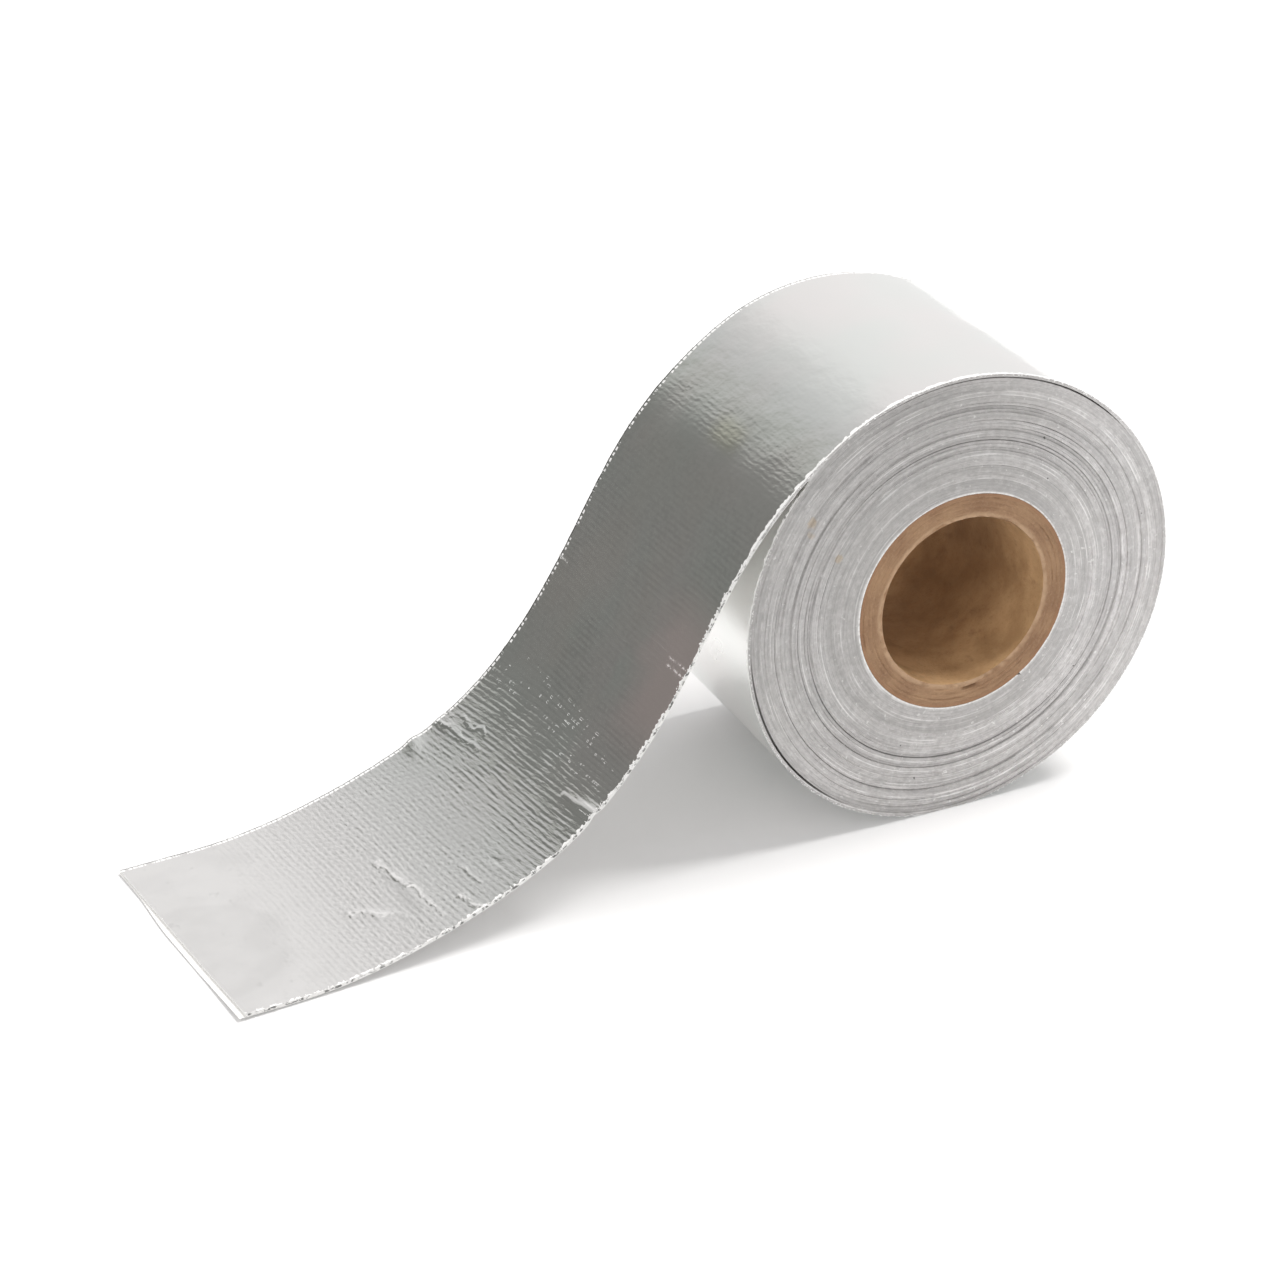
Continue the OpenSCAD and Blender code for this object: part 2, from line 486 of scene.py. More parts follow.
    # --- the inner end of the strip and the wall on the core
    e0, e1 = E
    last = J + M
    chain0 = np.concatenate([e0[last], [e0[last + N, 0]]])
    chain1 = np.concatenate([e1[last], [e1[last + N, 0]]])
    add(chain0[:-1], chain0[1:], chain1[1:], chain1[:-1], 2, (0, 0), (0, 1), (1, 1), (1, 0))
    add(e0[last:last + N, 0], e0[last + 1:last + N + 1, 0], e1[last + 1:last + N + 1, 0], e1[last:last + N, 0], 2,
        (0, 0), (0, 1), (1, 1), (1, 0))
    ob = build("tape_strip", np.concatenate(verts), np.concatenate(faces), mats,
               np.concatenate(index), np.concatenate(uvs), 32.0, "tape")
    return ob


def make_liner(mats):
    C, J = 32, 220
    cols = np.arange(C + 1) / C
    v = -HALF + WIDE * cols
    s_from = 7.6
    s_to = end_run(v, 0.8 - 0.6 * step_up(v, 2.0, 14.0))
    tt = np.arange(J + 1) / J
    s = s_from + (s_to - s_from)[None] * tt[:, None]
    S = S_CORNER - s
    lift = sheet_lift(S, np.broadcast_to(v, s.shape))
    ux, uz = up_at(s)
    edge = 0.06 + 0.03 * smooth_noise(np.arange(J + 1), 71, 9)
    rest = []
    for off in (0.376, 0.440):
        x, z = on_tail(s, off)
        x, z = x + ux * lift, z + uz * lift
        z = np.maximum(z, 0.450 - off)
        y = np.clip(v[None], -HALF + edge[:, None], HALF - edge[:, None]) + drift(x)
        rest.append(np.stack([x, y, z], axis=-1).reshape(-1, 3))
    n = (C + 1) * (J + 1)
    ids = np.arange(n).reshape(J + 1, C + 1)
    faces, index, uvs = [], [], []

    def add(a, b, c, d, m, *w):
        q = np.stack([a, b, c, d], axis=-1).reshape(-1, 4)
        faces.append(q)
        index.append(np.full(len(q), m))
        uvs.append(np.stack([np.stack([np.broadcast_to(c_, np.shape(a)) for c_ in k], axis=-1).reshape(-1, 2) for k in w], axis=1))

    V = np.broadcast_to(v, s.shape)
    for base in (0, n):
        k = ids + base
        add(k[:-1, :-1], k[:-1, 1:], k[1:, 1:], k[1:, :-1], 0, (S[:-1, :-1], V[:-1, :-1]), (S[:-1, 1:], V[:-1, 1:]),
            (S[1:, 1:], V[1:, 1:]), (S[1:, :-1], V[1:, :-1]))
    ring = np.concatenate([ids[:, 0], ids[-1, 1:], ids[-2::-1, -1], ids[0, -2:0:-1]])
    nxt = np.roll(ring, -1)
    k = np.arange(len(ring)) * 0.4
    add(ring, nxt, nxt + n, ring + n, 1, (k, 0), (k + 0.4, 0), (k + 0.4, 1), (k, 1))
    return build("liner_strip", np.concatenate(rest), np.concatenate(faces), mats,
                 np.concatenate(index), np.concatenate(uvs), 32.0, "release_liner")


def make_fringe(mat):
    """Short broken yarn ends along the cut edges, a tuft at each ridge of the cloth."""
    gen = rng(90)
    base_p, axis_out, axis_up, axis_run, size = [], [], [], [], []

    def tufts(x, z, y, ux, uz, sign, count, reach):
        for k in range(len(x)):
            up = np.array([ux[k], 0.0, uz[k]])
            run = np.array([uz[k], 0.0, -ux[k]])
            n = gen.integers(count - 2, count + 2)
            for _ in range(max(1, n)):
                base_p.append(np.array([x[k], y[k], z[k]]) + run * gen.normal(0, 0.20) - up * gen.uniform(0.02, 0.24))
                axis_out.append(np.array([0, sign, 0.0]))
                axis_up.append(up)
                axis_run.append(run)
                size.append(reach * min(1.7, gen.lognormal(-0.15, 0.5)))

    for side, sign in ((0, -1), (1, 1)):
        v = sign * HALF
        s_stop = float(end_run(np.array([v]))[0])
        s = np.arange(2.0, s_stop - 0.4, 0.76)
        s = s + gen.normal(0, 0.05, len(s))
        x, z = on_tail(s, 0.0)
        ux, uz = up_at(s)
        lift = sheet_lift(S_CORNER - s, np.full(len(s), v * 1.0))
        x, z = x + ux * lift, np.maximum(z + uz * lift, 0.5)
        tufts(x, z, v - sign * 0.06 + drift(x), ux, uz, sign, 4, 0.32)
        phi = np.arange(0.5, 335, 1.466)
        x, z = on_roll(phi, 0.0)
        ang = np.radians(LEAVE - phi)
        tufts(x, z, np.full(len(x), v - sign * 0.07), np.cos(ang), np.sin(ang), sign, 4, 0.26)
    # a few along the slanted cut
    v = np.arange(-HALF + 0.6, HALF - 0.4, 1.27)
    s = end_run(v)
    x, z = on_tail(s, 0.0)
    for k in range(len(v)):
        for _ in range(2):
            base_p.append(np.array([x[k] + 0.05, v[k] + float(drift(x[k])) + gen.normal(0, 0.2), max(z[k], 0.45) - gen.uniform(0.02, 0.2)]))
            axis_out.append(np.array([-1.0, 0, 0]))
            axis_up.append(np.array([0, 0, 1.0]))
            axis_run.append(np.array([0, 1.0, 0]))
            size.append(gen.uniform(0.1, 0.25))

    n = len(base_p)
    P, O, U, T = (np.array(k) for k in (base_p, axis_out, axis_up, axis_run))
    L = np.array(size)[:, None]
    out = gen.uniform(-0.1, 0.75, (n, 1))
    up = gen.uniform(0.15, 1.0, (n, 1))
    run = gen.normal(0, 0.55, (n, 1))
    curl = gen.uniform(-1.3, 0.35, (n, 1))             # most fold back over the foil
    rings = []
    for f, rad in ((0.0, 1.0), (0.4, 0.95), (0.75, 0.75), (1.0, 0.35)):
        q = P + O * (L * (out * f + curl * f * f)) + U * (L * (up * (f - 0.45 * f * f))) + T * (L * run * f)
        rings.append((q, rad))
    thick = gen.uniform(0.025, 0.065, (n, 1))
    d = rings[-1][0] - rings[0][0]
    d = d / np.maximum(np.linalg.norm(d, axis=1, keepdims=True), 1e-6)
    e1 = np.cross(d, T + 0.01)
    e1 = e1 / np.maximum(np.linalg.norm(e1, axis=1, keepdims=True), 1e-6)
    e2 = np.cross(d, e1)
    verts = []
    for q, rad in rings:
        for k in range(4):
            a = k * math.pi / 2
            verts.append(q + (e1 * math.cos(a) + e2 * math.sin(a)) * thick * rad)
    verts = np.stack(verts, axis=1)                     # n, 16, 3
    verts[..., 2] = np.maximum(verts[..., 2], 0.02)
    quads = []
    for r_ in range(3):
        for k in range(4):
            k2 = (k + 1) % 4
            quads.append([r_ * 4 + k, r_ * 4 + k2, (r_ + 1) * 4 + k2, (r_ + 1) * 4 + k])
    quads.append([3, 2, 1, 0])
    quads.append([12, 13, 14, 15])
    quads = np.array(quads)[None] + (np.arange(n) * 16)[:, None, None]
    quads = quads.reshape(-1, 4)
    uv = np.zeros((len(quads), 4, 2))
    uv[..., 0] = np.repeat(np.arange(n) % 97, 14)[:, None]
    return build("yarn_ends", verts.reshape(-1, 3), quads, [mat], np.zeros(len(quads)), uv, 80.0)


def make_core(mats):
    A = 240
    th = np.arange(A) * 2 * math.pi / A
    # profile from the near outer corner, over the near rim, through the bore, over the far rim
    rim = np.array([14.55, 14.40, 14.02, 13.94, 13.60, 13.42, 13.34, 12.95, 12.78, 12.70, 12.32, 12.12, 12.02, 11.80, 11.62, 11.50])
    L = CORE_LEN / 2
    bore_rows = 44
    prof = []                                          # (radius, y, kind, how far along)
    for k, r in enumerate(rim):
        prof.append((r, -L, 0))
    for k in range(bore_rows + 1):
        prof.append((BORE_R, -L + 0.18 + (2 * L - 0.36) * k / bore_rows, 1))
    for r in rim[::-1]:
        prof.append((r, L, 2))
    for k in range(7):
        prof.append((CORE_R, L - 0.15 - (2 * L - 0.3) * k / 6, 3))
    prof = np.array(prof)
    R0, Y0, kind = prof[:, 0][:, None], prof[:, 1][:, None], prof[:, 2][:, None]
    T = th[None]
    deg = np.degrees(T)
    R = R0 + 0 * T
    Y = Y0 + 0 * T
    sign = np.where(kind == 0, 1.0, -1.0)              # into the core from either rim
    onrim = (kind == 0) | (kind == 2)
    seed = np.where(kind == 2, 30, 0)
    ply = np.zeros_like(R)
    for b in (13.98, 13.38, 12.74, 12.07):
        ply = ply + 0.16 * np.exp(-((R - b - 0.03 * noise2(deg, b * 9 + 0 * deg, 51, 26, 1)) / 0.055) ** 2)
    rough = 0.05 * (noise2(deg, R * 3, 52, 3.2, 0.9)) + 0.04 * noise2(deg, R * 5, 53, 1.6, 0.6)
    lip = step_up(-R, -12.15, -11.75)
    torn = 0.5 + 0.4 * noise2(deg, 0 * deg, 54, 9, 1) + 0.5 * noise2(deg, 0 * deg, 55, 3.0, 1)
    depth = ply + 0.07 + rough + lip * np.clip(torn, -0.2, 1.4) * 0.34
    # a split ply low on the right, standing open
    crack = np.exp(-((deg - 276) / 5.5) ** 2) * np.exp(-((R - 12.32) / 0.13) ** 2)
    depth = depth + 0.75 * crack
    Y = np.where(onrim, Y + sign * np.clip(depth, 0, 1.2), Y)
    R = np.where(onrim & (R0 < 14.5), R + 0.025 * noise2(deg, R * 2, 56, 5, 1), R)
    # bore: the inner ply's spiral seam, and the wall's slight unevenness
    inbore = kind == 1
    pitch = 52.0
    turn = ((deg / 360.0) + (Y0 + 40) / pitch) % 1.0
    seam = np.exp(-((turn - 0.5) / 0.008) ** 2)
    step = 0.06 * step_up(turn, 0.5, 0.51) * (1 - step_up(turn, 0.5, 1.0))
    R = np.where(inbore, R + 0.10 * seam + step + 0.03 * noise2(deg, Y0 * 1.0 + 0 * deg, 57, 14, 5), R)
    R = np.where(inbore, np.maximum(R, BORE_R), R)
    R = np.where(onrim, np.clip(R, BORE_R, CORE_R), R)
    X = CORE_DX + R * np.cos(T)
    Z = ROLL_R + CORE_DZ + R * np.sin(T)
    P = len(prof)
    ids = np.arange(P * A).reshape(P, A)
    nx = np.roll(ids, -1, axis=1)
    a, b, c, d = ids, nx, np.roll(nx, -1, axis=0), np.roll(ids, -1, axis=0)
    quads = np.stack([a, b, c, d], axis=-1).reshape(-1, 4)
    kd = prof[:, 2].astype(int)
    nk = np.roll(kd, -1)
    m_row = np.where((kd == 1) & (nk == 1), 1, np.where((kd == 3) & (nk == 3), 2, 0))
    index = np.repeat(m_row, A)
    u0 = np.repeat(np.arange(A)[None], P, 0) * 360.0 / A
    along = np.cumsum(np.concatenate([[0], np.hypot(np.diff(prof[:, 0]), np.diff(prof[:, 1]))]))
    w0 = np.repeat(along[:, None], A, 1)
    w1 = np.repeat(np.concatenate([along[1:], [along[-1] + 0.2]])[:, None], A, 1)
    uv = np.stack([np.stack([u0, w0], -1), np.stack([u0 + 360.0 / A, w0], -1),
                   np.stack([u0 + 360.0 / A, w1], -1), np.stack([u0, w1], -1)], axis=2).reshape(-1, 4, 2)
    verts = np.stack([X, Y, Z], axis=-1).reshape(-1, 3)
    return build("core_tube", verts, quads, mats, index, uv, 40.0, "core")


# ---------------------------------------------------------------- materials
class Tree:
    def __init__(self, name):
        self.mat = bpy.data.materials.new(name)
        self.mat.use_nodes = True
        self.t = self.mat.node_tree
        self.t.nodes.clear()
        self.out = self.t.nodes.new("ShaderNodeOutputMaterial")
        self.bsdf = self.t.nodes.new("ShaderNodeBsdfPrincipled")
        self.t.links.new(self.bsdf.outputs[0], self.out.inputs["Surface"])

    def link(self, value, socket):
        if isinstance(value, bpy.types.NodeSocket):
            self.t.links.new(value, socket)
        else:
            socket.default_value = value

    def set(self, name, value):
        self.link(value, self.bsdf.inputs[name])

    def math(self, op, a, b=0.0, c=0.0, clamp=False):
        n = self.t.nodes.new("ShaderNodeMath")
        n.operation = op
        n.use_clamp = clamp
        for k, val in enumerate((a, b, c)):
            self.link(val, n.inputs[k])
        return n.outputs[0]

    def add(self, *terms):
        out = terms[0]
        for x in terms[1:]:
            out = self.math("ADD", out, x)
        return out

    def mul(self, *terms):
        out = terms[0]
        for x in terms[1:]:
            out = self.math("MULTIPLY", out, x)
        return out

    def span(self, x, a, b, lo=0.0, hi=1.0, smooth=True):
        n = self.t.nodes.new("ShaderNodeMapRange")
        n.interpolation_type = "SMOOTHSTEP" if smooth else "LINEAR"
        n.clamp = True
        self.link(x, n.inputs["Value"])
        for k, val in (("From Min", a), ("From Max", b), ("To Min", lo), ("To Max", hi)):
            self.link(val, n.inputs[k])
        return n.outputs["Result"]

    def within(self, x, a, b, soft):
        return self.mul(self.span(x, a - soft, a + soft), self.span(x, b - soft, b + soft, 1.0, 0.0))

    def mix(self, f, a, b, kind="MIX"):
        n = self.t.nodes.new("ShaderNodeMix")
        n.data_type = "RGBA"
        n.blend_type = kind
        self.link(f, n.inputs[0])
        self.link(a, n.inputs[6])
        self.link(b, n.inputs[7])
        return n.outputs[2]

    def ramp(self, f, stops, kind="EASE"):
        n = self.t.nodes.new("ShaderNodeValToRGB")
        n.color_ramp.interpolation = kind
        el = n.color_ramp.elements
        while len(el) > 1:
            el.remove(el[-1])
        for k, (pos, col) in enumerate(stops):
            e = el[0] if k == 0 else el.new(pos)
            e.position = pos
            col = (col, col, col) if not isinstance(col, tuple) else col
            e.color = (*col, 1.0)
        self.link(f, n.inputs[0])
        return n.outputs[0]

    def noise(self, vec, scale, detail=3.0, rough=0.5, warp=0.0):
        n = self.t.nodes.new("ShaderNodeTexNoise")
        n.noise_dimensions = "3D"
        self.link(vec, n.inputs["Vector"])
        n.inputs["Scale"].default_value = scale
        n.inputs["Detail"].default_value = detail
        n.inputs["Roughness"].default_value = rough
        n.inputs["Distortion"].default_value = warp
        return n.outputs["Fac"]

    def combine(self, x, y, z=0.0):
        n = self.t.nodes.new("ShaderNodeCombineXYZ")
        for k, val in enumerate((x, y, z)):
            self.link(val, n.inputs[k])
        return n.outputs[0]

    def split(self, vec):
        n = self.t.nodes.new("ShaderNodeSeparateXYZ")
        self.link(vec, n.inputs[0])
        return n.outputs[0], n.outputs[1], n.outputs[2]

    def strip(self):
        n = self.t.nodes.new("ShaderNodeUVMap")
        n.uv_map = "strip"
        return self.split(n.outputs[0])[:2]

    def place(self):
        n = self.t.nodes.new("ShaderNodeTexCoord")
        return n.outputs["Object"]

    def crease(self, S, v, a, b, wide):
        """1 on the line from a to b, soft to 0 at `wide` from it."""
        dx, dy = b[0] - a[0], b[1] - a[1]
        ls = self.math("SUBTRACT", S, a[0])
        lv = self.math("SUBTRACT", v, a[1])
        u = self.math("MULTIPLY", self.add(self.mul(ls, dx), self.mul(lv, dy)), 1 / (dx * dx + dy * dy), clamp=True)
        es = self.math("SUBTRACT", ls, self.mul(u, dx))
        ev = self.math("SUBTRACT", lv, self.mul(u, dy))
        d = self.math("SQRT", self.add(self.mul(es, es), self.mul(ev, ev)))
        return self.span(d, 0.0, wide, 1.0, 0.0)

    def bump(self, height, distance, strength=1.0):
        n = self.t.nodes.new("ShaderNodeBump")
        n.inputs["Strength"].default_value = strength
        n.inputs["Distance"].default_value = distance
        self.link(height, n.inputs["Height"])
        self.t.links.new(n.outputs[0], self.bsdf.inputs["Normal"])


def srgb(r, g, b):
    def one(c):
        c /= 255.0
        return c / 12.92 if c <= 0.04045 else ((c + 0.055) / 1.055) ** 2.4
    return (one(r), one(g), one(b), 1.0)


def foil_material():
    m = Tree("foil_on_cloth")
    S, v = m.strip()
    mm = m.combine(S, v)
    RIDGE, WARP = 0.76, 0.63

    def centred(vec, scale, detail=3, rough=0.5):
        return m.math("SUBTRACT", m.noise(vec, scale, detail, rough), 0.5)

    # the yarns lie square to the strip, wander a little and bunch here and there
    tilt = m.mul(m.span(S, 52, 64, 0.125, 0.04), m.span(S, 98, 112, 1.0, 0.0))
    Sq = m.add(S, m.mul(v, tilt))
    Sw = m.add(Sq, m.mul(centred(m.combine(m.mul(S, 0.5), v), 0.045, 1), 1.3), m.mul(centred(mm, 0.5, 2), m.span(S, 90, 98, 0.20, 1.0)),
               m.mul(centred(m.combine(S, m.mul(v, 0.4)), 0.22, 2), 0.55))
    vw = m.add(v, m.mul(centred(mm, 0.16, 2), 0.5))
    ridge = m.math("COSINE", m.mul(Sw, 2 * math.pi / RIDGE))
    # each ridge fades in and out along its length
    broken = m.span(m.noise(m.combine(m.mul(Sq, 1.3), m.mul(v, m.add(m.span(S, 38, 48, 0.85, 0.40), m.span(S, 90, 98, 0.0, 0.45)))), 0.9, 3, 0.6), 0.36, 0.62, 0.05, 1.35)
    streak = centred(m.combine(Sq, m.mul(v, 0.17)), 1.35, 3, 0.55)
    cross = m.mul(m.math("COSINE", m.mul(Sw, math.pi / RIDGE)), m.math("COSINE", m.mul(vw, math.pi / WARP)))
    bead_on = m.ramp(m.span(S, 0, 130, smooth=False), [(0.0, 0.55), (0.30, 0.50), (0.37, 0.15), (0.42, 0.22), (0.60, 0.30), (0.745, 0.25), (0.80, 0.20), (1.0, 0.25)], "LINEAR")
    short = centred(m.combine(Sq, m.mul(v, 0.62), 2.0), 1.7, 3, 0.6)
    weave = m.add(m.mul(ridge, broken, m.span(S, 38, 46, 0.30, 0.50)), m.mul(cross, bead_on, 0.5), m.mul(streak, m.span(S, 38, 46, 1.1, 1.6)),
                  m.mul(short, m.span(S, 38, 46, 1.6, 0.3)))
    # how strongly the cloth shows through, along the strip
    amp = m.ramp(m.span(S, 0, 130, smooth=False), [
        (0.0, 0.02), (0.085, 0.03), (0.115, 0.70), (0.15, 1.2), (0.18, 1.6), (0.23, 1.7), (0.32, 1.4), (0.36, 1.1), (0.41, 1.05), (0.45, 0.60),
        (0.60, 0.35), (0.70, 0.15), (0.742, 0.12), (0.755, 0.30), (0.775, 0.32), (0.792, 0.10), (0.84, 0.05), (1.0, 0.04)], "LINEAR")
    amp = m.mul(amp, m.span(m.noise(mm, 0.12, 3), 0.32, 0.68, 0.6, 1.25))
    grain = centred(mm, 1.5, 4, 0.6)
    dents = centred(m.combine(S, m.mul(v, 0.8)), 0.42, 3, 0.5)
    soft = centred(mm, 0.11, 3, 0.5)
    height = m.add(m.mul(weave, amp), m.mul(grain, 0.22), m.mul(dents, m.mul(m.span(S, 98, 103, 0.5, 3.0), m.span(S, 114, 124, 1.0, 0.2))), m.mul(soft, 2.2))
    # creases from handling
    bent = m.add(S, m.mul(centred(mm, 0.35, 3), 2.4))
    folds = None
    for a, b, wide, tall in (((28.5, 0.2), (30.2, -7.4), 0.75, 2.3), ((30.4, -7.4), (31.4, -15.8), 0.60, 2.4),
                             ((22.4, -6.6), (26.6, -11.0), 0.95, 2.3), ((27.0, -10.6), (28.6, -14.4), 0.60, 1.1),
                             ((34.4, -14.4), (35.8, -19.0), 0.70, 2.4), ((36.4, -7.8), (37.6, -14.6), 0.50, 1.3),
                             ((18.8, -0.3), (28.4, -1.2), 0.60, -0.5), ((40.2, -12.0), (42.4, -15.8), 0.75, -1.6),
                             ((46.0, 18.9), (47.4, 8.0), 0.70, 2.4),
                             ((47.9, 18.9), (49.4, 9.5), 0.60, 2.0)):
        one = m.mul(m.crease(bent, v, a, b, wide), tall)
        folds = one if folds is None else m.add(folds, one)
    pinch = m.crease(m.add(S, m.mul(centred(mm, 0.3, 2), 0.8)), v, (52.0, -11.8), (53.6, -19.4), 0.80)
    uneven = m.span(m.noise(m.combine(S, v, 6.0), 0.45, 3), 0.35, 0.60, 0.25, 1.15)
    height = m.add(height, m.mul(folds, uneven, 1.4), m.mul(pinch, 4.0))
    # small grains that stand proud where the sheet turns steep
    pips = m.mul(m.span(ridge, 0.1, 0.7), m.span(m.noise(m.combine(m.mul(Sq, 0.5), v, 14.0), 1.55, 1), 0.56, 0.66), m.within(S, 54.5, 60.5, 1.0),
                 m.span(m.noise(m.combine(m.mul(Sq, 1.1), m.mul(v, 0.20), 1.0), 0.55, 2), 0.50, 0.58))
    height = m.add(height, m.mul(pips, 1.3))
    m.bump(height, 0.000026)

    # frayed edges: the cut cloth shows white, in crumbs on the near side and a dashed line on the far side
    near = m.math("SUBTRACT", HALF, m.math("ABSOLUTE", v))
    tooth = m.math("ABSOLUTE", m.math("SUBTRACT", m.math("FRACT", m.math("DIVIDE", m.add(Sq, m.mul(centred(mm, 0.5, 1), 0.7)), RIDGE)), 0.5))
    ragged = m.span(m.noise(mm, 1.1, 3), 0.30, 0.70, 0.25, 1.35)
    crumb = m.mul(m.span(m.noise(m.combine(S, m.mul(v, 0.7)), 1.25, 2, 0.6), 0.42, 0.62, 0.02, 0.55), m.span(tooth, 0.0, 0.5, 1.0, 0.55, smooth=False))
    band = m.ramp(m.span(S, 0, 260, smooth=False), [(0.0, 0.0), (0.315, 0.0), (0.36, 0.50), (0.50, 0.50), (0.60, 0.28), (1.0, 0.26)], "LINEAR")
    band = m.mul(band, m.span(ragged, 0.25, 1.35, 0.45, 1.3))
    reach = m.math("MAXIMUM", crumb, band)
    solid = m.span(m.math("SUBTRACT", near, reach), -0.05, 0.05, 1.0, 0.0)
    steep = m.within(S, 57.0, 103.0, 3.0)
    dash = m.mul(m.within(m.math("SUBTRACT", near, m.mul(steep, 0.14)), 0.15, 0.56, 0.05),
                 m.span(m.math("ADD", tooth, m.mul(steep, 0.12)), 0.36, 0.44, 1.0, 0.0), m.span(m.noise(m.combine(S, 0.0, 5.0), 0.9, 2), m.math("ADD", 0.32, m.mul(steep, 0.12)), m.math("ADD", 0.42, m.mul(steep, 0.12))))
    dash = m.mul(dash, m.span(S, 124, 134, 1.0, 0.0))
    on_far = m.span(v, -1.0, 1.0)
    solid = m.mul(solid, m.math("MAXIMUM", m.math("SUBTRACT", 1.0, on_far), m.mul(m.span(S, 124, 134), 0.6)))
    fray = m.math("ADD", solid, m.mul(dash, on_far), clamp=True)

    # colour: a trace of pink and greenish tint in the foil, which fades toward the loose end; painted shade darkens the
    # loose end further on
    tint = m.noise(m.combine(m.mul(S, 0.8), v, 3.0), 0.055, 2)
    base = m.mix(m.mul(m.span(tint, 0.35, 0.65), m.span(S, 30, 60)), (0.800, 0.822, 0.800, 1), (0.835, 0.818, 0.805, 1))
    base = m.mix(m.span(S, 24, 44, 1.0, 0.0), base, (0.858, 0.853, 0.840, 1))
    # where the sheet is steep the cloth shows only faintly, in patches; its hollows get painted shade, and white specks
    # are partly worn cloth and partly painted glints
    shown = m.mul(m.within(S, 58, 93, 4.0), m.span(m.noise(m.combine(m.mul(S, 0.7), v, 9.0), 0.11, 2), 0.44, 0.60, 0.35, 1.0), m.span(S, 76, 84, 1.0, 0.6))
    base = m.mix(m.mul(m.span(weave, 0.45, -0.55), shown, 0.28), base, (0.40, 0.40, 0.39, 1))
    base = m.mix(m.mul(m.span(m.noise(m.combine(Sq, m.mul(v, 0.6)), 1.6, 2), 0.62, 0.74), shown, 0.5), base, (0.97, 0.97, 0.96, 1))
    # painted shade in the weave's hollows, before the steep part
    base = m.mix(m.mul(m.span(weave, 0.1, -0.8), m.span(amp, 0.0, 0.4), m.span(S, 56, 60, 0.10, 0.0)), base, (0.40, 0.40, 0.39, 1))
    steep_part = m.within(S, 60, 95, 3.0)
    base = m.mix(m.mul(m.span(m.noise(m.combine(Sq, m.mul(v, 0.8), 21.0), 1.3, 3, 0.6), 0.42, 0.66, 0.0, 0.13), steep_part), base, (0.45, 0.45, 0.44, 1))
    base = m.mix(m.mul(m.span(m.noise(m.combine(m.mul(S, 0.6), v, 31.0), 0.075, 3), 0.42, 0.62), m.span(S, 60, 98, 1.0, 0.5), steep_part, 0.45), base, (0.83, 0.79, 0.745, 1))
    pink = m.mul(m.within(S, 63, 80, 4.5), m.span(m.add(v, m.mul(centred(mm, 0.13, 2), 8.0)), -5.0, -14.0))
    base = m.mix(m.mul(pink, 0.85), base, (1.0, 0.865, 0.85, 1))
    teal = m.mul(m.within(S, 64, 80, 4.0), m.within(v, -8.0, 8.0, 5.0), m.span(m.noise(m.combine(S, v, 4.0), 0.10, 2), 0.45, 0.6))
    base = m.mix(m.mul(teal, 0.5), base, (0.765, 0.84, 0.80, 1))
    scuff = m.math("MAXIMUM", m.crease(S, v, (72.9, -14.6), (73.2, -19.2), 0.28), m.math("MAXIMUM",
                   m.crease(S, v, (73.8, -14.2), (74.1, -18.6), 0.24), m.crease(S, v, (72.9, 16.6), (72.9, 19.2), 0.26)))
    scuff = m.mul(scuff, m.span(m.noise(mm, 2.2, 2), 0.38, 0.56))
    # a yellowish painted reflection near where the loose end leaves the roll
    yellow_reflection = m.mul(m.within(S, 97.5, 101.0, 1.2), m.within(v, -3.5, 3.0, 2.0))
    base = m.mix(m.mul(yellow_reflection, 0.6), base, (0.80, 0.80, 0.66, 1))
    # painted highlight along the tops of the creases
    crest_highlight = m.mul(m.span(m.mul(folds, uneven), 0.8, 1.8), m.span(S, 42, 46, 1.0, 0.0))
    # painted shade: the foil is darkened toward the loose end to dim its reflection; a round darker patch with its arc,
    # mottling and small marks are added to it
    shade_and_smudges = m.mul(m.span(S, 44, 54, 1.0, 0.0), m.span(S, 14, 40, 0.05, 0.15))
    round_ = m.math("SQRT", m.add(m.math("POWER", m.math("SUBTRACT", S, 3.4), 2.0), m.math("POWER", m.math("ADD", v, 4.2), 2.0)))
    patch = m.span(m.add(round_, m.mul(centred(mm, 0.25, 2), 1.2)), 10.2, 11.6, 1.0, 0.0)
    arc_ = m.mul(m.within(round_, 10.4, 11.2, 0.9), m.span(S, 8.0, 12.0), 0.03)
    marks = m.mul(m.span(m.noise(m.combine(S, m.mul(v, 0.6), 8.0), 0.8, 3, 0.6), 0.60, 0.78), m.span(S, 14, 18, 1.0, 0.0), 0.10)
    shade_and_smudges = m.add(shade_and_smudges, m.mul(patch, 0.050), m.mul(m.span(m.noise(m.combine(S, v, 12.0), 0.16, 3), 0.35, 0.65), m.span(S, 14, 20, 0.06, 0.0)), arc_, marks)
    base = m.mix(shade_and_smudges, base, (0.20, 0.20, 0.195, 1))
    base = m.mix(m.mul(crest_highlight, 0.65), base, (0.97, 0.965, 0.95, 1))
    specks = m.span(m.noise(mm, 2.6, 1), 0.80, 0.84)
    base = m.mix(m.mul(specks, 0.6), base, (0.25, 0.25, 0.24, 1))
    # under the loose end the roll's foil is painted lighter: painted light in its reflection; it is a little rougher
    # there too
    shade = m.mul(m.span(S, 240, 258), m.span(S, 296, 310, 1.0, 0.0))
    base = m.mix(m.mul(shade, 0.50), base, (0.95, 0.945, 0.93, 1))
    rough_under = m.mul(shade, 0.12)
    fray = m.math("MAXIMUM", fray, m.mul(scuff, 0.5))
